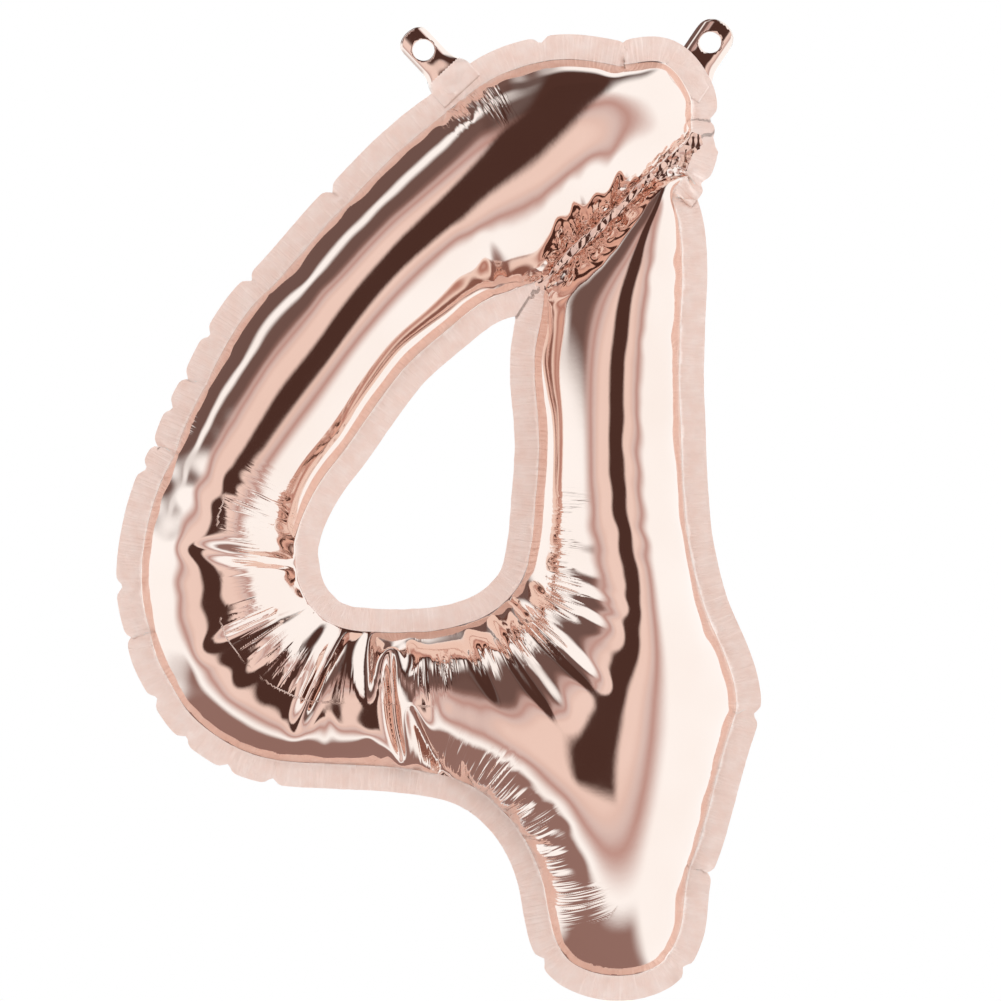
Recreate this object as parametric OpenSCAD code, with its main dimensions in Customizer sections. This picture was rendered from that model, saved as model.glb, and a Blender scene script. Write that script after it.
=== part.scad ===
// Foil number balloon: the numeral four, filled with air, with two hang tabs.
// The front faces -Y, the seam lies in the plane y = 0, and Z is up.
// It hangs from its tabs, so the origin is the centre of the left tab's hole.

/* [Film] */
// Thickness of the metallised film that each panel is cut from
film = 0.04; // [0.04:0.01:0.1]
// Thickness of the fused sealant between two welded layers of film
sealant = 0.08; // [0.06:0.02:0.2]

/* [Body] */
// Depth of a filled limb, as a share of its width
fullness = 1; // [0.8:0.05:1.05]
// Width of the flat hem outside the seam
hem_w = 10; // [8:0.5:11]
// Width of the welded band, measured outwards from the seam
weld_w = 6; // [4:0.5:7]

/* [Hang tabs] */
// Width of a hang tab
tab_w = 19; // [17:0.5:20]
// Diameter of the punched hole in a hang tab
tab_hole_d = 8.5; // [6:0.5:10]
// Distance from the fold at the tab's root to the centre of its hole
tab_reach = 15; // [13:0.5:16]
// Clear gap at the fold, where the film bends
fold_gap = 0.4; // [0.3:0.1:0.6]

/* [Valve] */
// Flat width of the valve's two films
valve_w = 16; // [12:1:20]
// Length of the valve, from its mouth in the bottom hem
valve_len = 110; // [80:5:120]

/* [Hidden] */

FRONT = -1;
BACK = 1;
rose_gold = "#e6b8a6";
satin_rose = "#f0cfc2";
milky = "#e9e4df";

// Each limb is a list of [x, z, half width of the seam] along its centre line.
diagonal_limb = [
    [94, -20, 16], [71, -29, 27], [32, -54, 32], [-8, -83, 31], [-39, -116, 30],
    [-63, -150, 30], [-78, -188, 28], [-77, -219, 31], [-63, -243, 31], [-36, -254, 28],
    [-1, -255, 26], [38, -254, 29], [77, -251, 34], [113, -250, 15]
];
stem_limb = [
    [104, -43, 4], [96, -63, 9], [85, -84, 17], [74, -108, 25], [72, -137, 27],
    [72, -176, 28], [75, -207, 31], [82, -250, 35], [79, -285, 31], [76, -325, 27],
    [75, -340, 25], [75, -349, 22]
];
// Two bends round off the corners where the crossbar meets the stem.
counter_bend = [[6, -253, 26], [38, -249, 27], [57, -233, 27], [69, -211, 27], [73, -187, 27]];
lower_bend = [[-1, -255, 26], [30, -260, 27], [56, -280, 27], [71, -305, 27], [75, -329, 26]];
LIMBS = [diagonal_limb, stem_limb, counter_bend, lower_bend];

steps = 3;         // stations from one point of a limb to the next
sides = 32;        // corners of a limb's cross-section
cap_angles = [80, 50, 25]; // stations that round off a limb's end
cap_length = 0.5;  // how far a rounded end reaches, as a share of its half width

// The weld between the diagonal and the stem runs from the counter to the top right.
crease_from = [36, -107];
crease_to = [102, -33];
crease_w = 16;

// Where each tab's hole lies, and the way the tab points, turned from +X
left_hole = [0, 0];
left_angle = 133;
right_hole = [112, 3];
right_angle = 56;
neck_len = 14;     // how far a tab's neck runs back into the hem

valve_x = 74;
mouth_z = -369;
far = 1000;        // a cube this wide, round the origin, holds the whole balloon
tiny = 0.01;

// ---- splines and tubes ----

function spline(a, b, c, d, t) =
    0.5 * (2 * b + (c - a) * t + (2 * a - 5 * b + 4 * c - d) * t * t + (3 * b - a - 3 * c + d) * t * t * t);

function clamped(path, i) = path[max(0, min(len(path) - 1, i))];

function smooth(path) = [
    for (i = [0:len(path) - 2])
        for (j = [0:steps - 1])
            spline(clamped(path, i - 1), path[i], path[i + 1], clamped(path, i + 2), j / steps),
    path[len(path) - 1]
];

// The direction of the centre line in the XZ plane
function heading(path, i) =
    let (step = clamped(path, i + 1) - clamped(path, i - 1), flat = [step[0], step[1]])
    flat / norm(flat);

// A station past the end of a limb, on the blunt dome that closes it
function cap_station(end, way, angle) =
    let (reach = end[2] * cap_length * sin(angle))
    [end[0] + way[0] * reach, end[1] + way[1] * reach, end[2] * cos(angle), way];

// Stations [x, z, half width, heading] of a whole limb with both ends rounded
function stations(limb) =
    let (path = smooth(limb), last = len(path) - 1)
    concat(
        [for (a = cap_angles) let (s = cap_station(path[0], -heading(path, 0), a)) [s[0], s[1], s[2], -s[3]]],
        [for (i = [0:last]) [path[i][0], path[i][1], path[i][2], heading(path, i)]],
        [for (i = [len(cap_angles) - 1:-1:0]) cap_station(path[last], heading(path, last), cap_angles[i])]
    );

// One limb as a closed tube whose wall lies inset inside the limb's surface
module tube(limb, inset) {
    rows = stations(limb);
    n = len(rows);
    points = [
        for (s = rows)
            for (k = [0:sides - 1])
                let (
                    r = max(s[2] - inset, tiny),
                    across = r * cos(360 * k / sides),
                    deep = max(s[2] * fullness - inset, tiny) * sin(360 * k / sides)
                )
                [s[0] - s[3][1] * across, deep, s[1] + s[3][0] * across]
    ];
    walls = [
        for (i = [0:n - 2])
            for (k = [0:sides - 1])
                let (a = i * sides + k, b = i * sides + (k + 1) % sides)
                for (face = [[a, b, b + sides], [a, b + sides, a + sides]])
                    face
    ];
    ends = [
        [for (k = [sides - 1:-1:0]) k],
        [for (k = [0:sides - 1]) (n - 1) * sides + k]
    ];
    polyhedron(points, concat(walls, ends), convexity = 6);
}

module limbs(inset) {
    for (limb = LIMBS) tube(limb, inset);
}

// ---- flat outlines, drawn in X and Z ----

module limb_outline(limb) {
    rows = stations(limb);
    polygon(concat(
        [for (s = rows) [s[0] - s[3][1] * s[2], s[1] + s[3][0] * s[2]]],
        [for (i = [len(rows) - 1:-1:0]) let (s = rows[i]) [s[0] + s[3][1] * s[2], s[1] - s[3][0] * s[2]]]
    ));
}

module seam_outline() {
    for (limb = LIMBS) limb_outline(limb);
}

// Everything within reach of the seam, corners rounded
module around_seam(reach) {
    offset(r = reach, $fn = 32) seam_outline();
}

// The area that the two centre lines enclose, which holds the counter
module counter_zone() {
    polygon(concat(
        [for (i = [2:12]) [diagonal_limb[i][0], diagonal_limb[i][1]]],
        [for (i = [7:-1:1]) [stem_limb[i][0], stem_limb[i][1]]]
    ));
}

module crease_zone() {
    hull() {
        translate(crease_from) circle(d = crease_w, $fn = 32);
        translate(crease_to) circle(d = crease_w, $fn = 32);
    }
}

module tab_frame(hole, angle) {
    translate(hole) rotate(angle) children();
}

// The tab's outline, seen with its hole at the origin and its round end towards +X
module tab_shape() {
    root = tab_reach - fold_gap / 2;
    difference() {
        union() {
            circle(d = tab_w, $fn = 64);
            translate([-root, -tab_w / 2]) square([root, tab_w]);
        }
        circle(d = tab_hole_d, $fn = 64);
    }
}

// The stub of hem that a tab folds from
module tab_neck() {
    translate([-tab_reach - neck_len, -tab_w / 2]) square([neck_len, tab_w]);
}

// The room that a tab takes, which is cut out of the hem from the fold outwards
module tab_room() {
    translate([-tab_reach - fold_gap / 2, -tab_w / 2 - fold_gap])
        square([tab_reach + tab_w, tab_w + 2 * fold_gap]);
}

module both_tabs() {
    tab_frame(left_hole, left_angle) children();
    tab_frame(right_hole, right_angle) children();
}

module valve_shape() {
    translate([valve_x - valve_w / 2, mouth_z]) square([valve_w, valve_len]);
}

// ---- sheets: a flat outline stood up in the XZ plane ----

// From y = near to y = near + thick
module sheet(near, thick) {
    translate([0, near + thick, 0]) rotate([90, 0, 0]) linear_extrude(thick) children();
}

// One layer of film on the front or the back of the sealant
module ply(side) {
    sheet(side == FRONT ? -sealant / 2 - film : sealant / 2, film) children();
}

module sealed_layer() {
    sheet(-sealant / 2, sealant) children();
}

// ---- sub-parts ----

module half_space(side) {
    translate([-far / 2, side == FRONT ? -far - sealant / 2 : sealant / 2, -far / 2]) cube(far);
}

// A domed panel with its flat hem. resize() by nothing has the whole panel made as one mesh.
module panel(side) {
    resize([0, 0, 0]) difference() {
        union() {
            intersection() {
                limbs(0);
                half_space(side);
            }
            ply(side) difference() {
                union() {
                    around_seam(hem_w);
                    both_tabs() tab_neck();
                }
                both_tabs() tab_room();
            }
        }
        limbs(film);
    }
}

module front_panel() color(rose_gold) panel(FRONT);

module back_panel() color(rose_gold) panel(BACK);

// The welded band all round, with the seam's inside taken out
module weld_band() {
    difference() {
        around_seam(weld_w);
        seam_outline();
    }
}

module outer_heat_seal() {
    color(satin_rose) sealed_layer() difference() {
        weld_band();
        counter_zone();
        crease_zone();
        valve_shape();
        both_tabs() tab_room();
    }
}

module counter_heat_seal() {
    color(satin_rose) sealed_layer() difference() {
        intersection() {
            weld_band();
            counter_zone();
        }
        crease_zone();
    }
}

module crease_heat_seal() {
    color(satin_rose) sealed_layer() intersection() {
        weld_band();
        crease_zone();
    }
}

module left_tab(side) color(rose_gold) ply(side) tab_frame(left_hole, left_angle) tab_shape();

module right_tab(side) color(rose_gold) ply(side) tab_frame(right_hole, right_angle) tab_shape();

module left_tab_heat_seal() color(satin_rose) sealed_layer() tab_frame(left_hole, left_angle) tab_shape();

module right_tab_heat_seal() color(satin_rose) sealed_layer() tab_frame(right_hole, right_angle) tab_shape();

module valve_front_film() color(milky) sheet(-sealant / 2, sealant / 2) valve_shape();

module valve_back_film() color(milky) sheet(0, sealant / 2) valve_shape();

front_panel();
back_panel();
outer_heat_seal();
counter_heat_seal();
crease_heat_seal();
left_tab(FRONT);  // left_tab_front_ply
left_tab_heat_seal();
left_tab(BACK);  // left_tab_back_ply
right_tab(FRONT);  // right_tab_front_ply
right_tab_heat_seal();
right_tab(BACK);  // right_tab_back_ply
valve_front_film();
valve_back_film();
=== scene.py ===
"""Foil number balloon: two sheets of metallised film welded round the numeral four and filled with air."""

import math

import bpy
import numpy as np
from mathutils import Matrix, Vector, noise
from mathutils.geometry import delaunay_2d_cdt


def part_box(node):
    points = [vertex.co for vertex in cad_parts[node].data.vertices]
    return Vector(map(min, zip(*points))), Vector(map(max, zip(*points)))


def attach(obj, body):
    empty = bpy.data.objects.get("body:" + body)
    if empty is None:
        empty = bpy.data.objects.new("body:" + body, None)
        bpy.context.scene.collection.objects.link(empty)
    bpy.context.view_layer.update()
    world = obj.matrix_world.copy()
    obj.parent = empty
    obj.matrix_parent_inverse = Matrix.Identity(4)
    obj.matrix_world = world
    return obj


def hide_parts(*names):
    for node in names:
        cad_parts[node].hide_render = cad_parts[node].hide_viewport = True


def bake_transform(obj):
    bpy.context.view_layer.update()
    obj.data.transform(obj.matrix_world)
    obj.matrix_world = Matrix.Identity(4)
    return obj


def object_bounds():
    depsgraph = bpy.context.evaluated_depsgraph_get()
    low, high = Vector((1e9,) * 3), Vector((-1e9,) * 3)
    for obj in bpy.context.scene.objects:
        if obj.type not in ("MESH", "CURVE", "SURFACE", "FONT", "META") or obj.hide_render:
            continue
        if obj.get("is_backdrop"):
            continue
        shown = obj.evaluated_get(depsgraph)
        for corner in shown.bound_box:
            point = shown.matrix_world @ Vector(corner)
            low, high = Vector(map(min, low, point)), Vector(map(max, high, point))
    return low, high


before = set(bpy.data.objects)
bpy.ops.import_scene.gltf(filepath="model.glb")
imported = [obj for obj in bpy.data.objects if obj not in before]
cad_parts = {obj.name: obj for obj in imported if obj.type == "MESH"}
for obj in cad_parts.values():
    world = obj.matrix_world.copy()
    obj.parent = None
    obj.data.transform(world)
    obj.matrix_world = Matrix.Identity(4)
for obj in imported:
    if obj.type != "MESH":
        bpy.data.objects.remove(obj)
cad_low, cad_high = (list(corner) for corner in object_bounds())


# ---- The welding die ----
# A heated steel die welds the two sheets together along one line, the outline of the air chamber.
# These points are that line as it lies on the filled balloon, in millimetres from the left tab's hole
# across and up. The line starts at the notch at the top right and runs anticlockwise.

DIE_OUTSIDE = [
    (104, -25), (102, -14), (93, -6), (77, -4), (55, -4), (38, -8), (23, -14.5), (8, -25), (-8, -38),
    (-23.5, -52.5), (-38.5, -68), (-53, -84.5), (-68, -101),
    (-80, -119), (-90, -137), (-98.5, -156), (-105, -176), (-108.5, -196), (-108.5, -215), (-105, -233),
    (-98.5, -246.5), (-90.5, -258), (-77.5, -268), (-62, -274.5), (-40, -278.5), (-17, -281), (3, -283.5),
    (17, -288), (29.5, -297), (40.5, -309), (48, -324), (51, -339), (54.5, -350), (61, -357.5), (77, -361.5),
    (92, -357), (99.5, -346), (103, -329), (107.5, -311), (112, -293), (116.5, -276), (121, -259),
    (121, -250), (117.5, -237), (111, -220), (107, -204), (104.5, -188), (102.5, -164), (101, -141),
    (100.5, -118), (101, -94), (102.5, -71), (104, -51)
]
# The weld between the diagonal and the stem, from the notch down to the counter
DIE_CREASE = [(105, -33), (97, -40.5), (88, -50), (78, -60), (67.5, -70), (56.5, -80), (47, -90)]
# Round the counter, from the crease's end down the stem's side
DIE_COUNTER = [
    (45, -107), (44.5, -125), (44.5, -153), (45, -176), (43.5, -197), (38.5, -212), (25, -223), (7, -228),
    (-15, -230), (-33.5, -227.5), (-46, -218), (-51.5, -204), (-51, -188), (-43, -170), (-31, -153),
    (-19, -136), (-6, -121), (8, -108), (24, -97)
]
CREASE_HALF_GAP = 2.2
HEM_W = 10.0
CHAMBER_FLAT = 14.0    # how far the flat chamber's edge first stands outside the filled one's
LET_OUT_FROM, LET_OUT_OVER = 6.0, 25.0    # how far from the crease it starts to, and over how far

# Where the hem buckles into a sharp notch, as points near the weld line
NOTCHES = [
    (12, -20), (47, -7), (77, -5), (-33, -59), (-63, -95), (-77, -116), (-85, -130), (-91, -143),
    (-96, -157), (-99, -167), (-107, -207), (-107, -226), (-100, -250), (-90, -263), (-76, -272),
    (-60, -277), (109, -24), (104, -47), (121, -259), (95, -354), (53, -354), (104, -320)
]
# Where the weld's heat shrank the hem most, so that the film beside it is gathered: x, z, reach, share
GATHERS = [
    (13, -18, 11, 0.10), (31, -297, 26, 0.08), (-28, -229, 18, 0.05), (11, -227, 18, 0.05),
    (38, -214, 15, 0.06), (-47, -199, 20, 0.06), (114, -312, 35, 0.05)
]
HEM_SHRINK = 0.03
CREASE_SHRINK = 0.12


def die_line(outside, crease, counter):
    """The whole weld line as one closed row of points: out, down the crease, round, and back up it."""
    along = np.gradient(crease, axis=0)
    along /= np.linalg.norm(along, axis=1)[:, None]
    aside = CREASE_HALF_GAP * np.stack([-along[:, 1], along[:, 0]], 1)
    return np.vstack([outside, crease + aside, counter, (crease - aside)[::-1]])


def rounded(points, spacing=None, per_span=8):
    """A closed smooth curve through the points, in steps of about the spacing or per_span steps a span."""
    out = []
    for i in range(len(points)):
        a, b, c, d = points[i - 1], points[i], points[(i + 1) % len(points)], points[(i + 2) % len(points)]
        count = per_span if spacing is None else max(1, round(np.linalg.norm(c - b) / spacing))
        t = (np.arange(count) / count)[:, None]
        out.append(0.5 * (2 * b + (c - a) * t + (2 * a - 5 * b + 4 * c - d) * t ** 2
                          + (3 * b - a - 3 * c + d) * t ** 3))
    return np.concatenate(out)


# ---- The flat sheets ----
# Two sheets of 0.04 mm nylon film, metallised on one side, lie one on the other and are welded and
# cut. The mesh is cut the same way: film on both sides of the weld line's inside, one hem outside.

COARSE = 5.0           # the first mesh's spacing; each later one halves it
ROW = 0.866            # from one row of even triangles to the next, for a spacing of 1
CLEAR = 0.6            # the least room, for a spacing of 1, between a mesh's own points and its rim
MERGE = 1e-4


def evenly(curve, spacing):
    """The closed curve again, at even steps of about the spacing."""
    ring = np.vstack([curve, curve[:1]])
    run = np.concatenate([[0], np.cumsum(np.linalg.norm(np.diff(ring, axis=0), axis=1))])
    at = np.arange(round(run[-1] / spacing)) * spacing * run[-1] / (round(run[-1] / spacing) * spacing)
    return np.stack([np.interp(at, run, ring[:, k]) for k in (0, 1)], 1)


def outward(curve):
    """(direction along, direction out) at each point of an anticlockwise closed curve."""
    along = np.roll(curve, -1, axis=0) - np.roll(curve, 1, axis=0)
    along /= np.linalg.norm(along, axis=1)[:, None]
    return along, np.stack([along[:, 1], -along[:, 0]], 1)


def in_blocks(work, points, block=3000):
    """work(points) done a block at a time, to keep the arrays small."""
    return np.concatenate([work(points[i:i + block]) for i in range(0, max(len(points), 1), block)])


def nearest_on(line, points, closed=True):
    """For each point the nearest place on a line of points, and how far along the line it is."""
    start = line if closed else line[:-1]
    step = (np.roll(line, -1, axis=0) if closed else line[1:]) - start
    square = (step ** 2).sum(1)
    run = np.cumsum(np.sqrt(square)) - np.sqrt(square)

    def nearest(some):
        to = some[:, None] - start
        t = np.clip((to * step).sum(2) / square, 0, 1)
        best = ((to - t[..., None] * step) ** 2).sum(2).argmin(1)
        t = t[np.arange(len(some)), best, None]
        return np.hstack([start[best] + t * step[best], run[best, None] + t * np.sqrt(square[best, None])])
    return in_blocks(nearest, points)


def line_distance(points, line, closed=True):
    """How far each point is from a line of points."""
    return np.linalg.norm(points - nearest_on(line, points, closed)[:, :2], axis=1)


def is_inside(points, line):
    """Whether each point lies inside the closed line."""
    end = np.roll(line, -1, axis=0)
    rise = np.where(np.abs(end[:, 1] - line[:, 1]) < 1e-9, 1e-9, end[:, 1] - line[:, 1])

    def crossings(some):
        spans = (line[:, 1] > some[:, 1, None]) != (end[:, 1] > some[:, 1, None])
        x = line[:, 0] + (some[:, 1, None] - line[:, 1]) * (end - line)[:, 0] / rise
        return (spans & (some[:, 0, None] < x)).sum(1) % 2 == 1
    return in_blocks(crossings, points)


def film_mesh(line, spacing):
    """Flat points and triangles of the chamber and its hem, and which triangles are inside the weld."""
    weld = evenly(rounded(line, spacing=1.0), spacing)
    edge = weld + HEM_W * outward(weld)[1]
    edge = edge[line_distance(edge, weld) > HEM_W - 0.8]
    low, high = weld.min(0) - HEM_W, weld.max(0) + HEM_W
    x, z = np.meshgrid(np.arange(low[0], high[0], spacing), np.arange(low[1], high[1], spacing * ROW))
    x = x + (np.arange(len(x)) % 2)[:, None] * spacing / 2
    grid = np.stack([x.ravel(), z.ravel()], 1)
    away = line_distance(grid, weld)
    inner = is_inside(grid, weld)
    in_hem = (away > CLEAR * spacing) & (away < HEM_W - 0.5 * spacing)
    grid = grid[np.where(inner, away > 0.62 * spacing, in_hem)]
    rim = [(i, (i + 1) % len(weld)) for i in range(len(weld))]
    points = [Vector(p) for p in np.vstack([weld, edge, grid])]
    points, _, faces, _, _, _ = delaunay_2d_cdt(points, rim, [], 0, MERGE)
    points = np.array([tuple(p) for p in points])
    faces = np.array([f for f in faces if len(f) == 3])
    centre = points[faces].mean(1)
    inner = is_inside(centre, weld)
    a, b = (points[faces[:, k]] - points[faces[:, 0]] for k in (1, 2))
    area = 0.5 * (a[:, 0] * b[:, 1] - a[:, 1] * b[:, 0])
    faces[area < 0] = faces[area < 0][:, ::-1]
    keep = inner | (line_distance(centre, weld) < HEM_W - 0.05 * spacing)
    keep &= np.abs(area) > 1e-3 * spacing ** 2
    used, faces = np.unique(faces[keep], return_inverse=True)
    return points[used], faces.reshape(-1, 3), inner[keep], len(weld)


def edges_of(faces):
    """(each edge once, its number of faces, the edge of each side of each face)"""
    sides = np.sort(np.concatenate([faces[:, [0, 1]], faces[:, [1, 2]], faces[:, [2, 0]]]), axis=1)
    edges, which, count = np.unique(sides, axis=0, return_inverse=True, return_counts=True)
    return edges, count, which.ravel()


FRONT, BACK, HEM = 0, 1, 2


def lay_up(points, faces, inner):
    """Both sheets: flat points, triangles, each triangle's part, and each point's side, -1 in front."""
    film, hem = faces[inner], faces[~inner]
    edges, count, _ = edges_of(film)
    free = np.zeros(len(points), bool)
    free[film] = True
    free[edges[count == 1]] = False
    twin = np.arange(len(points))
    twin[free] = len(points) + np.arange(free.sum())
    side = np.concatenate([np.where(free, -1.0, 0.0), np.ones(free.sum())])
    part = np.repeat([FRONT, BACK, HEM], [len(film), len(film), len(hem)])
    return np.vstack([points, points[free]]), np.vstack([film, twin[film][:, ::-1], hem]), part, side


def split(flat, shape, faces, part, weld, chosen, normals=None):
    """The chosen triangles cut into four and their neighbours to match, with the new points on the weld
    and on the cut edge moved onto them. With normals, the new points bulge as far as those ask for."""
    edges, count, which = edges_of(faces)
    which = which.reshape(3, -1)
    cut = np.zeros(len(edges), bool)
    cut[which[:, chosen]] = True
    middle_of = np.where(cut, len(flat) + np.cumsum(cut) - 1, -1)[which]
    cuts = (middle_of >= 0).sum(0)
    made, parts = [faces[cuts == 0]], [part[cuts == 0]]
    for turn in range(3):
        a, b, c = (faces[:, (turn + k) % 3] for k in range(3))
        ab, bc, ca = (middle_of[(turn + k) % 3] for k in range(3))
        all_cut, only_ab, all_but_ab = cuts == 3, (cuts == 1) & (ab >= 0), (cuts == 2) & (ab < 0)
        for rows, triangle in (
            (all_cut, (a, ab, ca)), (only_ab, (a, ab, c)), (only_ab, (ab, b, c)),
            (all_but_ab, (a, b, bc)), (all_but_ab, (a, bc, ca)), (all_but_ab, (ca, bc, c))
        ):
            made.append(np.stack(triangle, 1)[rows])
            parts.append(part[rows])
    made.append(middle_of.T[cuts == 3])
    parts.append(part[cuts == 3])
    edges, count = edges[cut], count[cut]
    middle, shape_middle = flat[edges].mean(1), shape[edges].mean(1)
    on_weld, on_cut = np.flatnonzero(count == 3), np.flatnonzero(count == 1)
    moved = middle.copy()
    moved[on_weld] = nearest_on(weld, middle[on_weld])[:, :2]
    foot = nearest_on(weld, middle[on_cut])[:, :2]
    away = np.linalg.norm(middle[on_cut] - foot, axis=1)[:, None]
    from_foot = middle[on_cut] - foot
    moved[on_cut] = np.where(away > 0.9 * HEM_W, foot + from_foot * (HEM_W / away), middle[on_cut])
    shape_middle[:, [0, 2]] += moved - middle
    if normals is not None:
        for near, far in (edges.T, edges.T[::-1]):
            rise = ((shape[far] - shape[near]) * normals[near]).sum(1)
            shape_middle -= rise[:, None] * normals[near] / 8
    return (np.vstack([flat, moved]), np.vstack([shape, shape_middle]),
            np.vstack(made), np.concatenate(parts))


# ---- Filling with air ----
# Air at low pressure domes the film, which hardly stretches, so it buckles wherever it has to get
# shorter: in ribs across the inside of each bend, in gathers along the weld, and in notched hems.

PRESSURE = 4e-4        # against the film's stiffness of 1: about 1% of stretch in the widest limb
HEM_STIFF = 2.0        # the hem is two plies
STEP_TIME, DRAG = 0.45, 0.985
AIR_EVERY = 8          # the air's push changes slowly, so it is worked out anew once in so many steps
NOTCH_PUSH, NOTCH_BEND = 0.3, 0.02    # at a notch the hem gives way like this


def neighbours(total, faces):
    """For each point its neighbours, padded with itself, as a table with a row for each place."""
    edges, count, _ = edges_of(faces)
    both = np.vstack([edges, edges[:, ::-1]])
    both = both[np.argsort(both[:, 0], kind="stable")]
    number = np.bincount(both[:, 0], minlength=total)
    place = np.arange(len(both)) - (np.cumsum(number) - number)[both[:, 0]]
    table = np.tile(np.arange(total), (number.max(), 1))
    table[place, both[:, 0]] = both[:, 1]
    edge = np.zeros(total, bool)
    edge[edges[count != 2]] = True
    return table, table != np.arange(total), number, edge


def inflate(flat, shape, faces, part, steps, film_push, hem_push, hold, bend, hem_bend, jitter,
            soft=None, shrink=None):
    """Springs along the mesh's edges, air pressure and a little bending, run until the film settles.
    film_push and hem_push are how much of its stiffness an edge keeps when it is pressed shorter, hold
    keeps the hem near its plane, and jitter in mm starts the buckles. soft has the notches' points, and
    shrink the share that the weld's heat takes off at each point."""
    real = np.float32
    total = len(flat)
    near, is_near, number, edge = neighbours(total, faces)
    hem = np.zeros(total, bool)
    hem[faces[part == HEM]] = True
    both_hem = hem & hem[near]
    rest = np.where(is_near, np.linalg.norm(flat[near] - flat, axis=2), 1)
    if shrink is not None:
        rest = np.where(both_hem, rest * (1 - 0.5 * (shrink + shrink[near])), rest)
    push = np.where(both_hem, hem_push, film_push)
    stiffness = np.where(hem, hem_bend, bend) * 4
    if soft is not None:
        push = np.where(both_hem & (soft | soft[near]), NOTCH_PUSH, push)
        stiffness[soft] = NOTCH_BEND
    spring = (np.where(both_hem, HEM_STIFF, 1.0) * is_near).astype(real)
    push, is_near = push.astype(real), is_near.astype(real)
    pull = spring * rest.astype(real)
    share = (1 / np.maximum(number, 1)).astype(real)
    stiffness = np.where(edge, 0, stiffness).astype(real)
    hold = (hem * hold).astype(real)
    film = [np.ascontiguousarray(corner) for corner in faces[part != HEM].T]
    at = [np.ascontiguousarray(shape[:, k], dtype=real) for k in range(3)]
    at[1] += np.random.default_rng(4).normal(0, jitter, total).astype(real)
    speed = [np.zeros(total, real) for _ in range(3)]
    reach = [np.empty(near.shape, real) for _ in range(3)]
    length, work = np.empty(near.shape, real), np.empty(near.shape, real)
    step_time, drag = real(STEP_TIME), real(DRAG)
    for step in range(steps):
        if step % AIR_EVERY == 0:
            a, b = ([p[film[k]] - p[film[0]] for p in at] for k in (1, 2))
            air = []
            for i, j in ((1, 2), (2, 0), (0, 1)):
                push_out = (a[i] * b[j] - a[j] * b[i]) * (PRESSURE / 6)
                air.append(sum(np.bincount(corner, push_out, total) for corner in film).astype(real))
        for k in range(3):
            np.take(at[k], near, out=reach[k], mode="clip")
            reach[k] -= at[k]
        np.multiply(reach[0], reach[0], out=length)
        for k in (1, 2):
            np.multiply(reach[k], reach[k], out=work)
            length += work
        np.sqrt(length, out=length)
        length += real(1e-6)
        np.divide(pull, length, out=work)
        np.subtract(spring, work, out=length)
        np.multiply(length, push, out=work)
        np.maximum(length, work, out=length)
        for k in range(3):
            np.multiply(length, reach[k], out=work)
            force = work.sum(0) + air[k]
            curl = reach[k].sum(0) * share * stiffness
            np.take(curl * share, near, out=work, mode="clip")
            work *= is_near
            force -= work.sum(0) - curl
            if k == 1:
                force -= hold * at[1]
            speed[k] = (speed[k] + force * step_time) * drag
            at[k] += speed[k] * step_time
    return np.stack(at, 1).astype(float)


def eased(errors):
    """Each error shared with its neighbours along the line, the ends kept."""
    out = errors.copy()
    for _ in range(2):
        out[1:-1] = 0.25 * out[:-2] + 0.5 * out[1:-1] + 0.25 * out[2:]
    return out


def settle_onto(points, goal):
    """(turn, centre, goal's centre) that lay the points best onto the goal without stretching them."""
    u, _, v = np.linalg.svd((points - points.mean(0)).T @ (goal - goal.mean(0)))
    return u @ v, points.mean(0), goal.mean(0)


def filled_line(line, flat, shape, weld_count):
    """Where the die line's own points lie once filled."""
    seam, moved = flat[:weld_count], shape[:weld_count][:, [0, 2]]
    shift = moved - seam
    shift = sum(w * np.roll(shift, k, axis=0) for k, w in ((-1, 0.25), (0, 0.5), (1, 0.25)))
    nearest = [int(((seam - p) ** 2).sum(1).argmin()) for p in line]
    return line + shift[nearest]


# The flat pattern isn't known, only the filled shape, so it is cut by trial as a pattern maker does:
# fill it, see where the weld line falls short of the die line above, and let the pattern out there.
TRIALS = 6
TRIAL = dict(steps=600, film_push=0.1, hem_push=0.02, hold=0.3, bend=0.02, hem_bend=0.02, jitter=0.1)
FIRST_HALF_DEPTH = 3.0
CORRECTED = 0.8        # the share of each miss that a trial takes out
goal = die_line(*(np.array(part, float) for part in (DIE_OUTSIDE, DIE_CREASE, DIE_COUNTER)))
crease_ends = np.array([DIE_CREASE[0], DIE_CREASE[-1]], float)
let_out = np.clip((line_distance(goal, crease_ends, closed=False) - LET_OUT_FROM) / LET_OUT_OVER, 0, 1)
first = goal + outward(goal)[1] * (CHAMBER_FLAT * let_out)[:, None]
n_out, n_crease, n_counter = len(DIE_OUTSIDE), len(DIE_CREASE), len(DIE_COUNTER)
outside, crease = first[:n_out], np.array(DIE_CREASE, float)
counter = first[n_out + n_crease:n_out + n_crease + n_counter]
for trial in range(TRIALS):
    pattern = die_line(outside, crease, counter)
    points, faces, inner, weld_count = film_mesh(pattern, COARSE)
    flat, faces, part, side = lay_up(points, faces, inner)
    shape = np.stack([flat[:, 0], side * FIRST_HALF_DEPTH, flat[:, 1]], 1)
    shape = inflate(flat, shape, faces, part, **TRIAL)
    filled = filled_line(pattern, flat, shape, weld_count)
    turn, centre, goal_centre = settle_onto(filled, goal)
    short = (goal - ((filled - centre) @ turn + goal_centre)) @ turn.T * CORRECTED
    if trial < TRIALS - 1:
        outside = outside + eased(short[:n_out])
        counter = counter + eased(short[n_out + n_crease:n_out + n_crease + n_counter])
        crease = crease + eased(0.5 * (short[n_out:n_out + n_crease] + short[-n_crease:][::-1]))

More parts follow.
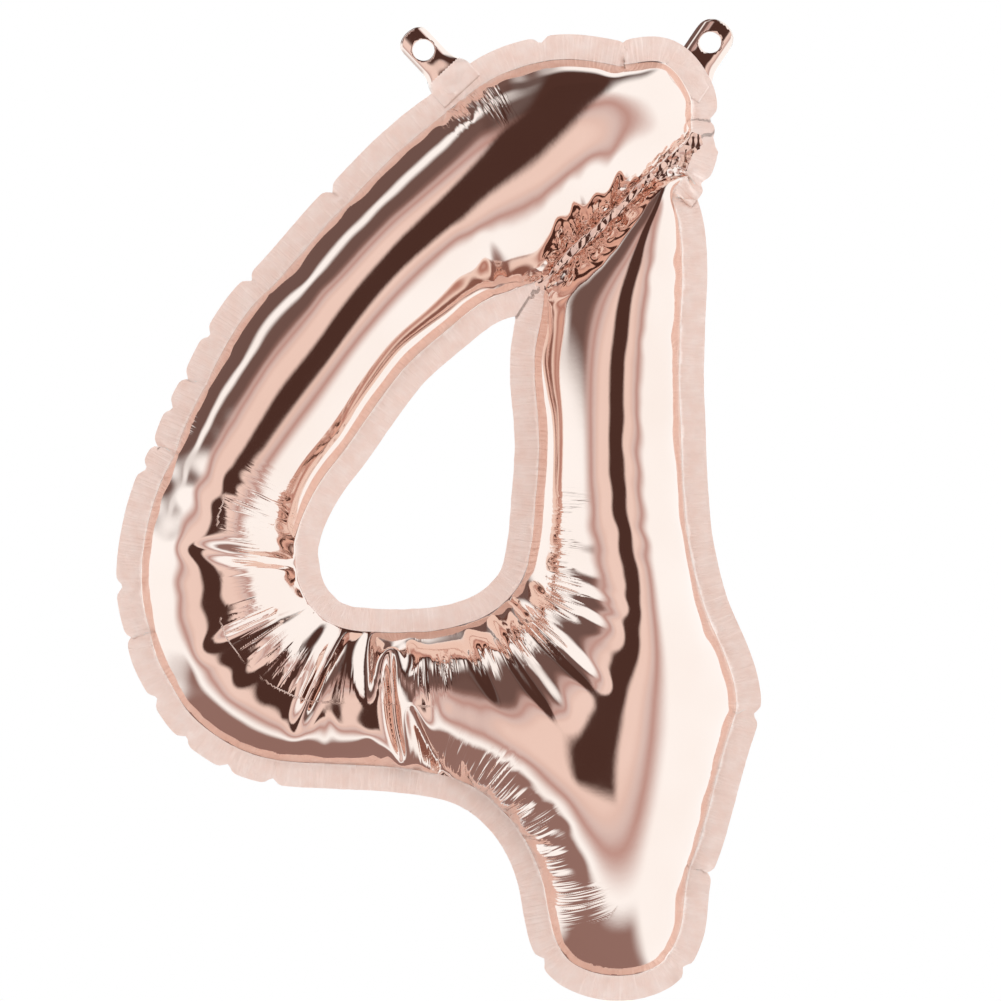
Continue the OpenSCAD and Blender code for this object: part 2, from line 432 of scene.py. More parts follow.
# The sheets are then filled again on finer meshes, where the hem's notches and the gathers form.
flat_curve, goal_curve = rounded(pattern), rounded(goal)
curve_along, curve_out = outward(flat_curve)
notch_at = [int(((goal_curve - n) ** 2).sum(1).argmin()) for n in np.array(NOTCHES, float)]
gather_at = [int(((goal_curve - g[:2]) ** 2).sum(1).argmin()) for g in np.array(GATHERS, float)]
FINER = [
    dict(steps=400, film_push=0.15, hem_push=0.2, hold=0.1, bend=0.01, hem_bend=0.1, jitter=0.05),
    dict(steps=350, film_push=0.6, hem_push=0.5, hold=0.02, bend=0.01, hem_bend=0.1, jitter=0.02)
]
SOFT_HALF = (2.6, 1.4)         # half a notch's width on each of those meshes
NOTCH_START = 1.5              # how far its first fold stands out, by turns forwards and back
CREASE_SHRINK_REACH = 6.0
for level, settings in enumerate(FINER):
    flat, shape, faces, part = split(flat, shape, faces, part, flat_curve, part >= 0)
    hem = np.zeros(len(flat), bool)
    hem[faces[part == HEM]] = True
    half_w = SOFT_HALF[level]
    soft = np.zeros(len(flat), bool)
    for i, k in enumerate(notch_at):
        from_notch = flat - flat_curve[k]
        out, across = from_notch @ curve_out[k], from_notch @ curve_along[k]
        line = hem & (out > -1) & (out < HEM_W + 2)
        soft |= line & (np.abs(across) < half_w)
        if level == 0:
            shape[:, 1] += line * np.exp(-(across / half_w) ** 2) * (NOTCH_START if i % 2 else -NOTCH_START)
    from_crease = line_distance(flat, crease, closed=False)
    shrink = HEM_SHRINK + CREASE_SHRINK * np.exp(-(from_crease / CREASE_SHRINK_REACH) ** 2)
    for k, (_, _, reach_mm, amount) in zip(gather_at, GATHERS):
        shrink += amount * np.exp(-(np.linalg.norm(flat - flat_curve[k], axis=1) / reach_mm) ** 2)
    shape = inflate(flat, shape, faces, part, soft=soft, shrink=shrink, **settings)
turn, centre, goal_centre = settle_onto(filled_line(pattern, flat, shape, weld_count), goal)
shape[:, [0, 2]] = (shape[:, [0, 2]] - centre) @ turn + goal_centre
shape[:, 1] -= shape[hem, 1].mean()

# At each notch the gathered hem is drawn in towards the weld, which leaves it scalloped.
NOTCH_PULL, NOTCH_HALF = 2.4, 2.2
goal_out = outward(goal_curve)[1]
for k in notch_at:
    from_notch = flat - flat_curve[k]
    out, across = from_notch @ curve_out[k], from_notch @ curve_along[k]
    pull = hem * np.clip(out / HEM_W, 0, 1) * np.exp(-(across / NOTCH_HALF) ** 2) * (out < HEM_W + 2)
    shape[:, [0, 2]] -= NOTCH_PULL * pull[:, None] * goal_out[k]

# Away from the bends the real film is drawn smooth, so the mesh's own facets are evened out there.
# Each bend: x, z and how far it reaches.
BENDS = [(-48, -215, 42), (-8, -240, 45), (40, -225, 45), (28, -300, 42), (60, -75, 42), (13, -17, 22)]
EVENINGS = 30
creased = sum(np.exp(-(((shape[:, 0] - x) ** 2 + (shape[:, 2] - z) ** 2) / reach ** 2) ** 2)
              for x, z, reach in BENDS)
calm = 0.5 * np.clip(1 - creased, 0.0, 1)[:, None]
calm[hem] = 0
near, is_near, number, _ = neighbours(len(flat), faces)
for evening in range(EVENINGS):
    shape += calm * ((shape[near] * is_near[..., None]).sum(0) / number[:, None] - shape)


# ---- The front and back panels ----
# Each is one sheet of nylon film, drawn tight by the air, with a vacuum-deposited aluminium coat under a
# rose gold lacquer: a tinted mirror with next to no blur. The hem is the same film after the hot die,
# which leaves it satin.

PLY_APART = 0.06       # from the hem's middle to the middle of either ply, in mm
FILM_ROUGHNESS = (0.03, 0.075)
HEM_ROUGHNESS = (0.36, 0.52)


def linear(hex_colour, alpha=1.0):
    """An sRGB hex colour as linear light."""
    parts = [int(hex_colour[i:i + 2], 16) / 255 for i in (1, 3, 5)]
    return tuple(c / 12.92 if c <= 0.04045 else ((c + 0.055) / 1.055) ** 2.4 for c in parts) + (alpha,)


def add(tree, kind, sockets=None, **settings):
    """Adds a node. A socket takes a value, or another node's output, which is then linked to it."""
    made = tree.nodes.new(kind)
    for name, value in settings.items():
        setattr(made, name, value)
    for name, value in (sockets or {}).items():
        if isinstance(value, bpy.types.NodeSocket):
            tree.links.new(value, made.inputs[name])
        else:
            made.inputs[name].default_value = value
    return made


def new_finish(name):
    """(material, its node tree, its own place on the object in metres)"""
    finish = bpy.data.materials.new(name)
    finish.use_nodes = True
    finish.node_tree.nodes.clear()
    place = add(finish.node_tree, "ShaderNodeTexCoord")
    return finish, finish.node_tree, place.outputs["Object"]


def mottled(tree, place, millimetres, detail, low, high):
    """A value that wanders from low to high, in lumps about that wide."""
    lumps = add(tree, "ShaderNodeTexNoise", {"Vector": place, "Scale": 1000 / millimetres, "Detail": detail})
    return add(tree, "ShaderNodeMapRange", {"Value": lumps.outputs["Fac"], "From Min": 0.3, "From Max": 0.7,
                                            "To Min": low, "To Max": high}).outputs["Result"]


def tinted(tree, place, millimetres, detail, one, other):
    """Two near shades of a colour, in patches about that wide."""
    factor = mottled(tree, place, millimetres, detail, 0, 1)
    return add(tree, "ShaderNodeMix", {"Factor": factor, "A": linear(one), "B": linear(other)},
               data_type="RGBA").outputs["Result"]


def lumpy(tree, place, millimetres, detail, deep, under):
    """Lumps about that wide and so many mm deep, on top of the relief under them."""
    lumps = add(tree, "ShaderNodeTexNoise", {"Vector": place, "Scale": 1000 / millimetres, "Detail": detail})
    return add(tree, "ShaderNodeBump", {"Height": lumps.outputs["Fac"], "Strength": 1.0,
                                        "Distance": deep / 1000, "Normal": under.outputs["Normal"]})


def surface(tree, **sockets):
    """The shader that all of this object's finishes end in, and the output."""
    named = {name.replace("_", " "): value for name, value in sockets.items()}
    shader = add(tree, "ShaderNodeBsdfPrincipled", named)
    add(tree, "ShaderNodeOutputMaterial", {"Surface": shader.outputs["BSDF"]})


mirror_film, tree, place = new_finish("rose_gold_metallised_nylon")
# The mesh holds where the film is creased. "weld" is the way along the weld and in from it, and
# "creasing" is how pleated and how crumpled it is. The mesh has the folds, and this their finest part.
FINE_PLEAT, FINE_PLEAT_LENGTH, FINE_PLEAT_DEEP = 1.7, 40.0, 2.2
FACET, FACET_DEEP = 3.5, 1.0
along_weld = add(tree, "ShaderNodeAttribute", attribute_name="weld").outputs["Vector"]
creasing = add(tree, "ShaderNodeAttribute", attribute_name="creasing").outputs["Vector"]
creasing = add(tree, "ShaderNodeSeparateXYZ", {"Vector": creasing})
stretched = add(tree, "ShaderNodeVectorMath",
                {0: along_weld, 1: (1000 / FINE_PLEAT, 1000 / FINE_PLEAT_LENGTH, 0.0)}, operation="MULTIPLY")
pleat = add(tree, "ShaderNodeTexNoise", {"Vector": stretched.outputs["Vector"], "Scale": 1.0, "Detail": 1.0})
ridge = add(tree, "ShaderNodeMath", {0: pleat.outputs["Fac"], 1: 0.5}, operation="SUBTRACT")
ridge = add(tree, "ShaderNodeMath", {0: ridge.outputs["Value"]}, operation="ABSOLUTE")
pleats = add(tree, "ShaderNodeMath", {0: ridge.outputs["Value"], 1: creasing.outputs["X"]},
             operation="MULTIPLY")
facet = add(tree, "ShaderNodeTexVoronoi", {"Vector": place, "Scale": 1000 / FACET})
crumples = add(tree, "ShaderNodeMath", {0: facet.outputs["Distance"], 1: creasing.outputs["Y"]},
               operation="MULTIPLY")
folded = add(tree, "ShaderNodeBump", {"Height": pleats.outputs["Value"], "Strength": 1.0,
                                      "Distance": FINE_PLEAT_DEEP / 1000})
crumpled = add(tree, "ShaderNodeBump", {"Height": crumples.outputs["Value"], "Strength": 1.0,
                                        "Distance": FACET_DEEP / 1000, "Normal": folded.outputs["Normal"]})
slack = lumpy(tree, place, 9, 3, 0.02, crumpled)
skin = lumpy(tree, place, 1.1, 2, 0.0025, slack)
surface(tree, Base_Color=tinted(tree, place, 40, 2, "#efd2c5", "#eccdbf"), Metallic=1.0,
        Normal=skin.outputs["Normal"], Roughness=mottled(tree, place, 14, 4, *FILM_ROUGHNESS))

satin_hem, tree, place = new_finish("heat_sealed_film")
# The die's release cloth leaves its threads in the hem, 0.6 mm apart and too fine to show. Only broad,
# faint waves are drawn for it. Ripples across the weld are where the hem is gathered.
CLOTH_WAVE, CLOTH_DEEP = 5.0265, 0.03
WAVES_AT_ONE = 20 / (2 * math.pi)      # how many waves the wave texture has at a scale of 1
RIPPLE, RIPPLE_LENGTH, RIPPLE_DEEP = 1.7, 25.0, 0.7
threads = [
    add(tree, "ShaderNodeTexWave",
        {"Vector": place, "Scale": 1000 / (CLOTH_WAVE * WAVES_AT_ONE), "Distortion": 0.6},
        wave_type="BANDS", bands_direction=way, wave_profile="SIN").outputs["Fac"] for way in ("X", "Z")
]
cloth = add(tree, "ShaderNodeMath", {0: threads[0], 1: threads[1]}, operation="MAXIMUM").outputs["Value"]
pressed = add(tree, "ShaderNodeBump", {"Height": cloth, "Strength": 1.0, "Distance": CLOTH_DEEP / 1000})
along_weld = add(tree, "ShaderNodeAttribute", attribute_name="weld").outputs["Vector"]
stretched = add(tree, "ShaderNodeVectorMath", {0: along_weld, 1: (1000 / RIPPLE, 1000 / RIPPLE_LENGTH, 0.0)},
                operation="MULTIPLY")
ripple = add(tree, "ShaderNodeTexNoise", {"Vector": stretched.outputs["Vector"], "Scale": 1.0, "Detail": 2.0})
rippled = add(tree, "ShaderNodeBump", {"Height": ripple.outputs["Fac"], "Strength": 1.0,
                                       "Distance": RIPPLE_DEEP / 1000, "Normal": pressed.outputs["Normal"]})
pucker = lumpy(tree, place, 3.5, 3, 0.3, rippled)
surface(tree, Base_Color=tinted(tree, place, 6, 4, "#f9e4da", "#f5d8cb"), Metallic=0.4,
        Normal=pucker.outputs["Normal"], Roughness=mottled(tree, place, 5, 3, *HEM_ROUGHNESS))


def add_piece(name, points, faces, finishes, slot, body, finish_of=None, thick=None, held=None):
    """A smooth-shaded mesh object from points in mm, with its finish, and its thickness in mm if any.
    held has the vectors that its mesh holds at each point, by name."""
    used, faces = np.unique(faces, return_inverse=True)
    mesh = bpy.data.meshes.new(name)
    mesh.from_pydata((points[used] / 1000).tolist(), [], faces.reshape(-1, 3).tolist())
    mesh.shade_smooth()
    for finish in finishes:
        mesh.materials.append(finish)
    if finish_of is not None:
        mesh.polygons.foreach_set("material_index", finish_of.astype(np.int32))
    for label, vectors in (held or {}).items():
        kept = mesh.attributes.new(label, "FLOAT_VECTOR", "POINT")
        kept.data.foreach_set("vector", vectors[used].ravel())
    mesh.update()
    piece = bpy.data.objects.new(name, mesh)
    bpy.context.scene.collection.objects.link(piece)
    if thick:
        solid = piece.modifiers.new("thickness", "SOLIDIFY")
        solid.thickness, solid.offset = thick / 1000, 0
    if body:
        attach(piece, body)
    return piece


def smooth_step(value, low, high):
    """From 0 at low to 1 at high, easing in and out."""
    t = np.clip((value - low) / (high - low), 0, 1)
    return t * t * (3 - 2 * t)


# Where the pleats are: x and z near the weld, how far they run along it, from and to how far in, depth
PLEATS = [
    (-49, -203, 34, 13, 34, 0.9), (-44, -217, 24, 13, 34, 1.1), (-15, -230, 26, 18, 34, 0.6),
    (25, -224, 26, 13, 35, 1.1), (43, -198, 24, 14, 33, 1.0), (29, -297, 24, 2, 36, 1.1),
    (45, -318, 26, 6, 34, 0.9), (10, -285, 16, 0, 30, 0.8), (15, -19, 15, -2, 30, 1.3),
    (102, -150, 70, -3, 6, 0.35), (115, -283, 22, -3, 12, 0.5), (108, -310, 20, -3, 12, 0.5),
    (-90, -143, 9, -3, 16, 0.9), (-60, -93, 6, -3, 14, 0.7), (-33, -62, 6, -3, 14, 0.7),
    (-40, -278, 50, -3, 6, 0.3), (-10, -229, 60, -3, 5, 0.4), (77, -360, 24, -3, 8, 0.6)
]
PLEAT_FADE_IN, PLEAT_FADE_OUT = 9.0, 14.0
CRUMPLE_REACH = 13.0
whole = np.linalg.norm(np.diff(np.vstack([flat_curve, flat_curve[:1]]), axis=0), axis=1).sum()


def creases_at(flat):
    """At flat points: the way along the weld and in from it, the pleats, the crumples, and the way from
    the crease."""
    foot = nearest_on(flat_curve, flat)
    run, inwards = foot[:, 2], np.linalg.norm(flat - foot[:, :2], axis=1)
    pleated = np.zeros(len(flat))
    for x, z, reach, first_in, last_in, depth in PLEATS:
        spot = flat_curve[((goal_curve - (x, z)) ** 2).sum(1).argmin()][None]
        apart = np.abs(run - nearest_on(flat_curve, spot)[0, 2])
        apart = np.minimum(apart, whole - apart)
        # Their ends are uneven, and they come in groups.
        uneven = 3 * np.sin(run / 2.3 + x) + 4 * np.sin(run / 7.1 + z)
        window = (smooth_step(inwards, first_in, first_in + PLEAT_FADE_IN - 0.6 * uneven)
                  * (1 - smooth_step(inwards, last_in - PLEAT_FADE_OUT + uneven, last_in + uneven)))
        window *= 0.75 + 0.25 * np.sin(run / 4.3) * np.sin(run / 11.0 + x)
        beside = 1 - smooth_step(apart, 0.45 * reach, 1.2 * reach)
        pleated = np.maximum(pleated, depth * window * beside)
    from_crease = line_distance(flat, crease, closed=False)
    crumple = 1 - smooth_step(from_crease, 0.5 * CRUMPLE_REACH, CRUMPLE_REACH)
    return run, inwards, pleated, crumple, from_crease


def normals_of(points, faces):
    """The direction that the surface faces at each point."""
    corner = points[faces]
    across_face = np.cross(corner[:, 1] - corner[:, 0], corner[:, 2] - corner[:, 0])
    normals = np.zeros_like(points)
    for k in range(3):
        np.add.at(normals, faces[:, k], across_face)
    return normals / np.maximum(np.linalg.norm(normals, axis=1), 1e-9)[:, None]


# The mesh is cut finer where the pleats and crumples are, and folded there, a little in and a little out.
PLEAT, PLEAT_LENGTH, PLEAT_DEEP, PLEAT_LEVEL = 2.0, 40.0, 1.3, 0.15
CRUMPLE, CRUMPLE_DEEP, CRUMPLE_LEVEL = 5.0, 1.2, 0.4
LAYER_APART = 10.0     # so that the back's folds aren't the front's
BRIGHT_REACH = 5.0
_, _, pleated, crumple, _ = creases_at(flat)
wanted = (np.maximum(pleated, crumple)[faces].mean(1) > 0.05) & (part != HEM)
bulge = normals_of(shape, faces[part != HEM])
bulge[faces[part == HEM]] = 0
flat, shape, faces, part = split(flat, shape, faces, part, flat_curve, wanted, bulge)
run, inwards, pleated, crumple, from_crease = creases_at(flat)
hem_points = np.zeros(len(flat), bool)
hem_points[faces[part == HEM]] = True
fold = np.zeros(len(flat))
for i in np.flatnonzero((np.maximum(pleated, crumple) > 0.01) & ~hem_points):
    layer = LAYER_APART * (shape[i, 1] > 0)
    ridge = abs(noise.noise((run[i] / PLEAT, inwards[i] / PLEAT_LENGTH, layer)))
    cell = noise.voronoi((flat[i, 0] / CRUMPLE, flat[i, 1] / CRUMPLE, layer))[0][0]
    fold[i] = (PLEAT_DEEP * pleated[i] * (ridge - PLEAT_LEVEL)
               + CRUMPLE_DEEP * crumple[i] * (cell - CRUMPLE_LEVEL))
shape += fold[:, None] * normals_of(shape, faces[part != HEM])
on_mesh = {"weld": np.stack([run, inwards, 0 * run], 1) / 1000,
           "creasing": np.stack([pleated, crumple, 0 * crumple], 1)}
# The hem inside the crease is pinched between the limbs and stays bright.
bright_hem = from_crease[faces].mean(1) < BRIGHT_REACH
for name, own, out in (("front_foil", FRONT, -1), ("back_foil", BACK, 1)):
    sheet = (part == own) | (part == HEM)
    placed = shape.copy()
    placed[hem_points, 1] += out * PLY_APART
    ways = faces[sheet].copy()
    if own == BACK:
        ways[part[sheet] == HEM] = ways[part[sheet] == HEM][:, ::-1]
    foil = add_piece(name, placed, ways, (mirror_film, satin_hem), "foil", "envelope",
                     finish_of=(part[sheet] == HEM) & ~bright_hem[sheet], held=on_mesh)
    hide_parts("front_panel" if own == FRONT else "back_panel")


# ---- The heat seals ----
# Between the plies, 6 mm wide from the air chamber outwards, the polyethylene that lines both sheets is
# fused into one milky layer. It shows only as a fine line at a cut edge, but it is what holds the air.

SEAL_W = 6.0
SEAL_THICK = 0.07
fused_sealant, tree, place = new_finish("fused_polyethylene")
surface(tree, Base_Color=tinted(tree, place, 2.5, 2, "#efe6df", "#ddd2ca"), IOR=1.51,
        Roughness=mottled(tree, place, 4, 2, 0.4, 0.6))

middle = flat[faces].mean(1)
sealed = (part == HEM) & (line_distance(middle, flat_curve) < SEAL_W)
from_lines = [line_distance(middle[sealed], line, closed=False) for line in (outside, counter, crease)]
nearest_line = np.argmin(from_lines, axis=0)
for k, name in enumerate(("outer_seal", "counter_seal", "crease_seal")):
    seal = add_piece(name, shape, faces[sealed][nearest_line == k], (fused_sealant,), "sealant", "envelope",
                     thick=SEAL_THICK)
    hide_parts(name.replace("seal", "heat_seal"))


# ---- The hang tabs ----
# Each tab is cut with the panels and has the same two plies and sealant, with one hole punched through
# for a ribbon. It isn't held flat by anything, so it curls about its length and turns out of the plane.

TAB_W = 19.0
TAB_REACH = 15.0       # from the fold at its root to the hole's centre
TAB_BACK = 7.5         # how far its plies run back over the hem
HOLE_R = 4.25
TAB_MESH = 0.8
TAB_FILM = 0.04
ROUND_STEPS, SIDE_STEPS, BACK_STEPS = 34, 28, 22
SATIN_END = 3.5        # the die reaches this far past the fold
# body, hole's centre x and z, its way in degrees, turn of its tip, how far its edges curl and draw in
TABS = [
    ("left_tab", (0.0, 0.0), 133, -3, 5.5, 0.34),
    ("right_tab", (112.0, 3.0), 56, -2, 4.5, 0.17)
]
LEAN_BACK = 0.16       # how far the tips lean back for each mm they rise


def tab_blank():
    """The flat tab: points (along its length from the fold, across) and triangles."""
    half = TAB_W / 2
    turn = np.linspace(-math.pi / 2, math.pi / 2, ROUND_STEPS)
    back = np.linspace(-half, half, BACK_STEPS)[1:-1]
    side = np.linspace(-TAB_BACK, TAB_REACH, SIDE_STEPS)[:-1]
    edge = np.vstack([
        np.stack([side, np.full(len(side), -half)], 1),
        np.stack([TAB_REACH + half * np.cos(turn), half * np.sin(turn)], 1),
        np.stack([side[::-1], np.full(len(side), half)], 1),
        np.stack([np.full(len(back), -TAB_BACK), back[::-1]], 1)
    ])
    turn = np.arange(ROUND_STEPS) * (2 * math.pi / ROUND_STEPS)
    hole = np.stack([TAB_REACH + HOLE_R * np.cos(turn), HOLE_R * np.sin(turn)], 1)
    x, y = np.meshgrid(np.arange(-TAB_BACK, TAB_REACH + half, TAB_MESH),
                       np.arange(-half, half, TAB_MESH * ROW))
    x = x + (np.arange(len(x)) % 2)[:, None] * TAB_MESH / 2
    grid = np.stack([x.ravel(), y.ravel()], 1)
    clear = CLEAR * TAB_MESH
    grid = grid[is_inside(grid, edge) & ~is_inside(grid, hole)
                & (line_distance(grid, edge) > clear) & (line_distance(grid, hole) > clear)]
    rims = [(i, (i + 1) % len(edge)) for i in range(len(edge))]
    rims += [(len(edge) + i, len(edge) + (i + 1) % len(hole)) for i in range(len(hole))]
    points, _, faces, _, _, _ = delaunay_2d_cdt([Vector(p) for p in np.vstack([edge, hole, grid])],
                                                rims, [], 0, MERGE)
    points, faces = np.array([tuple(p) for p in points]), np.array(faces)
    centre = points[faces].mean(1)
    return points, faces[is_inside(centre, edge) & ~is_inside(centre, hole)]


def hem_height(x, z, around=40):
    """How far the rippled hem stands out of its plane, next to each place."""
    beside = (np.abs(shape[:, 0] - x.mean()) < around) & (np.abs(shape[:, 2] - z.mean()) < around)
    near = shape[hem_points & beside]
    weight = np.exp(-((near[:, 0] - x[:, None]) ** 2 + (near[:, 2] - z[:, None]) ** 2) / 2) + 1e-12
    return (weight * near[:, 1]).sum(1) / weight.sum(1)


blank, tab_faces = tab_blank()
along, across = blank.T
for body, hole_at, heading, twist, curl, draw_in in TABS:
    heading = math.radians(heading)
    ahead = np.array([math.cos(heading), math.sin(heading)])
    aside = np.array([-math.sin(heading), math.cos(heading)])
    root = np.array(hole_at) - TAB_REACH * ahead
    loose = smooth_step(along, -1.0, 9.0)
    edge = (across / (TAB_W / 2)) ** 4 * loose
    wide, deep = across * (1 - draw_in * edge), curl * edge
    turned = math.radians(twist) * loose
    side_way = wide * np.cos(turned) + deep * np.sin(turned)
    front_way = deep * np.cos(turned) - wide * np.sin(turned)
    spot = np.array(hole_at) + (along - TAB_REACH)[:, None] * ahead + side_way[:, None] * aside
    front_way += LEAN_BACK * loose * (spot[:, 1] - root[1])
    on_hem = hem_height(spot[:, 0], spot[:, 1]) * (1 - smooth_step(along, -2.0, 6.0))
    placed = np.stack([spot[:, 0], front_way + on_hem, spot[:, 1]], 1)
    normals = normals_of(placed, tab_faces)
    if normals[:, 1].mean() > 0:
        normals = -normals
    # Its plies lie just over the hem's at the root.
    over = (PLY_APART + 0.1 * (1 - smooth_step(along, 0.0, 3.0)))[:, None]
    film = dict(finishes=(mirror_film, satin_hem), slot="foil", thick=TAB_FILM,
                finish_of=blank[tab_faces].mean(1)[:, 0] < SATIN_END)
    fused = dict(finishes=(fused_sealant,), slot="sealant", thick=SEAL_THICK)
    for name, node, shift, made in (
        ("_front_ply_film", "_front_ply", over, film), ("_sealant", "_heat_seal", 0, fused),
        ("_back_ply_film", "_back_ply", -over, film)
    ):
        tab = add_piece(body + name, placed + shift * normals, tab_faces, body=None, **made)
        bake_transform(tab)
        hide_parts(body + node)


# ---- The valve ----
# Two soft polyethylene films lie flat on each other between the panels, open to the air at the bottom
# hem. The air inside presses them shut, so the balloon seals itself when the straw is pulled out.

valve_low, valve_high = (1000 * np.array(corner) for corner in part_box("valve_front_film"))
VALVE_OPEN = 0.3       # how far each film bows from the other between their side welds
VALVE_APART = 0.012    # from the middle of the pair to either film's middle where they are pressed flat
VALVE_FILM = 0.02
MOUTH_END, FREE_FROM = 8.0, 24.0      # the hem grips the mouth, and further up the valve hangs free
SWAY = 1.6
ROWS, COLUMNS = 72, 12
valve_film, tree, place = new_finish("milky_polyethylene_film")
surface(tree, Base_Color=tinted(tree, place, 5, 3, "#f1ece7", "#dfd8d2"), IOR=1.51,
        Roughness=mottled(tree, place, 3, 2, 0.25, 0.4))

u, v = np.meshgrid(np.linspace(-1, 1, COLUMNS + 1), np.linspace(0, 1, ROWS + 1))
u, v = u.ravel(), v.ravel()
x = (valve_low[0] + valve_high[0]) / 2 + u * (valve_high[0] - valve_low[0]) / 2
z = valve_low[2] + v * (valve_high[2] - valve_low[2])
free = smooth_step(z - valve_low[2], MOUTH_END, FREE_FROM)
sway = hem_height(x, z) * (1 - free) + SWAY * free * np.sin(9.0 * v + 0.5)
first_corner = (np.arange(ROWS)[:, None] * (COLUMNS + 1) + np.arange(COLUMNS)).ravel()
valve_faces = np.vstack([first_corner[:, None] + [0, 1, COLUMNS + 2],
                         first_corner[:, None] + [0, COLUMNS + 2, COLUMNS + 1]])
for name, out in (("valve_front", -1), ("valve_back", 1)):
    bow = out * (VALVE_APART + VALVE_OPEN * free * (1 - u ** 2))
    valve = add_piece(name, np.stack([x, sway + bow, z], 1), valve_faces, (valve_film,), "valve_film",
                      "envelope", thick=VALVE_FILM)
    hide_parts(name + "_film")


# ---- The studio ----
# A mirror shows only what stands round it. Here that is a white tent, open in front where the dark room
# behind the camera shows as a slot, with brown shade up to the left and below, and a pale sill.

TENT = {"white": "#e4f7ff", "sill": "#fff7f4", "shade": "#9c8480", "dark": "#5e453f"}
FLOOR_DROP = 0.25
FLOOR_RADIUS = 1.1
FLOOR_SIDES = 96

tent = bpy.data.worlds.new("light_tent")
bpy.context.scene.world = tent
tent.use_nodes = True
tree = tent.node_tree
tree.nodes.clear()
way = add(tree, "ShaderNodeSeparateXYZ", {"Vector": add(tree, "ShaderNodeTexCoord").outputs["Generated"]})


def angle(operation, *sides):
    """An inverse function of the sides, in degrees."""
    radians = add(tree, "ShaderNodeMath", dict(enumerate(sides)), operation=operation).outputs["Value"]
    return add(tree, "ShaderNodeMath", {0: radians, 1: 180 / math.pi}, operation="MULTIPLY").outputs["Value"]


def between(value, low, high, soft):
    """1 where the value is from low to high, falling to 0 over a soft edge."""
    rising, falling = (
        add(tree, "ShaderNodeMapRange", {"Value": value, "From Min": start, "From Max": end},
            interpolation_type="SMOOTHSTEP").outputs["Result"]
        for start, end in ((low - soft, low + soft), (high + soft, high - soft))
    )
    return add(tree, "ShaderNodeMath", {0: rising, 1: falling}, operation="MINIMUM").outputs["Value"]


def hang(light, colour, strength, *masks):
    """The light with a panel of a colour hung over it, where all the masks are 1."""
    panel = add(tree, "ShaderNodeVectorMath", {0: linear(colour)[:3], "Scale": strength}, operation="SCALE")
    if not masks:
        return panel.outputs["Vector"]
    where = masks[0]
    for mask in masks[1:]:
        where = add(tree, "ShaderNodeMath", {0: where, 1: mask}, operation="MULTIPLY").outputs["Value"]
    return add(tree, "ShaderNodeMix", {"Factor": where, 4: light, 5: panel.outputs["Vector"]},
               data_type="VECTOR").outputs[1]


forwards = add(tree, "ShaderNodeMath", {0: way.outputs["Y"], 1: -1.0}, operation="MULTIPLY").outputs["Value"]
round_from_front = angle("ARCTAN2", way.outputs["X"], forwards)
height = angle("ARCSINE", way.outputs["Z"])
# The angle away from straight ahead, whichever way, and the angle of that way: 0 right, 90 up
from_front = angle("ARCCOSINE", forwards)
bearing = angle("ARCTAN2", way.outputs["Z"], way.outputs["X"])

light = hang(None, TENT["white"], 1.5)
# the shade up to the left, from half way round to behind, with a bright gap in it
light = hang(light, TENT["shade"], 0.55, between(bearing, 98, 166, 8), between(from_front, 44, 200, 5))
light = hang(light, TENT["white"], 1.5, between(bearing, 98, 166, 8), between(from_front, 73, 88, 5))
# the dark ceiling, and the shade under the table
light = hang(light, TENT["dark"], 0.8, between(bearing, 74, 104, 8), between(from_front, 40, 105, 6))
light = hang(light, TENT["shade"], 1.0, between(bearing, -148, -70, 9), between(from_front, 60, 138, 6))
# the pale sill in front, and soft shade round it
light = hang(light, TENT["sill"], 1.0, between(from_front, -1, 33, 4))
light = hang(light, TENT["shade"], 1.75, between(from_front, 33, 46, 9))
# the slot
light = hang(light, TENT["dark"], 0.75, between(round_from_front, -9, 15, 3), between(height, -22, 74, 3))
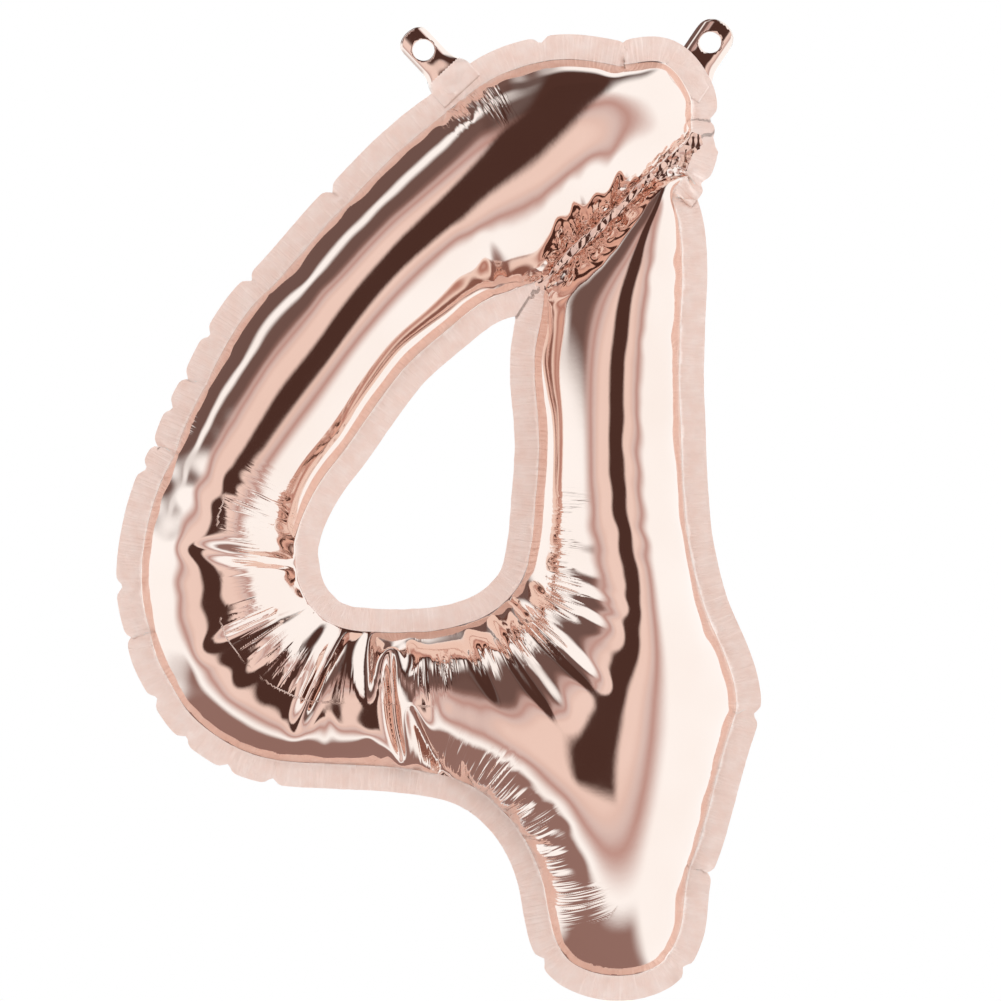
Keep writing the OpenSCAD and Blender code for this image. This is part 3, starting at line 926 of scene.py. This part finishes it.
# The backdrop behind the balloon is plain white from wherever it is seen
camera_ray = add(tree, "ShaderNodeLightPath").outputs["Is Camera Ray"]
seen = add(tree, "ShaderNodeMix", {"Factor": camera_ray, 4: light, 5: (1.0, 1.0, 1.0)},
           data_type="VECTOR").outputs[1]
backdrop = add(tree, "ShaderNodeBackground", {"Color": seen})
add(tree, "ShaderNodeOutputWorld", {"Surface": backdrop.outputs["Background"]})

pale_floor, tree, place = new_finish("pale_painted_board")
surface(tree, Base_Color=tinted(tree, place, 120, 3, "#f6f3f1", "#f1edea"), Roughness=0.6)
floor_x, floor_y = ((cad_low[k] + cad_high[k]) / 2 for k in (0, 1))
turns = [2 * math.pi * k / FLOOR_SIDES for k in range(FLOOR_SIDES)]
floor_mesh = bpy.data.meshes.new("floor")
floor_mesh.from_pydata(
    [(floor_x + FLOOR_RADIUS * math.cos(a), floor_y + FLOOR_RADIUS * math.sin(a), cad_low[2] - FLOOR_DROP)
     for a in turns], [], [tuple(range(FLOOR_SIDES))])
floor_mesh.materials.append(pale_floor)
floor = bpy.data.objects.new("floor", floor_mesh)
bpy.context.scene.collection.objects.link(floor)
floor.visible_glossy = False
floor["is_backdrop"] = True

# The camera looks straight at the front, from far enough for a long lens
FILLS = 0.979          # the share of the picture's height that the balloon takes
ACROSS, DOWN = 0.438, 0.507    # where its middle lies, from the left and from the top
LENS, SENSOR = 135, 36
lens = bpy.data.cameras.new("camera")
lens.lens, lens.sensor_width = LENS, SENSOR
picture = (cad_high[2] - cad_low[2]) / FILLS
camera = bpy.data.objects.new("camera", lens)
camera.location = (
    (cad_low[0] + cad_high[0]) / 2 + (0.5 - ACROSS) * picture,
    -picture * LENS / SENSOR,
    (cad_low[2] + cad_high[2]) / 2 + (DOWN - 0.5) * picture
)
camera.rotation_euler = (math.pi / 2, 0, 0)
bpy.context.scene.collection.objects.link(camera)
bpy.context.scene.camera = camera
bpy.context.scene.view_settings.view_transform = "Standard"

# A big soft box over the camera lights what isn't mirror-bright
soft_box = bpy.data.lights.new("soft_box", "AREA")
soft_box.shape, soft_box.size, soft_box.size_y = "RECTANGLE", 1.6, 1.2
soft_box.energy = 26
lamp = bpy.data.objects.new("soft_box", soft_box)
lamp.location = (camera.location[0], -1.9, 0.9)
lamp.rotation_euler = (math.radians(60), 0, 0)
lamp.visible_glossy = False
bpy.context.scene.collection.objects.link(lamp)
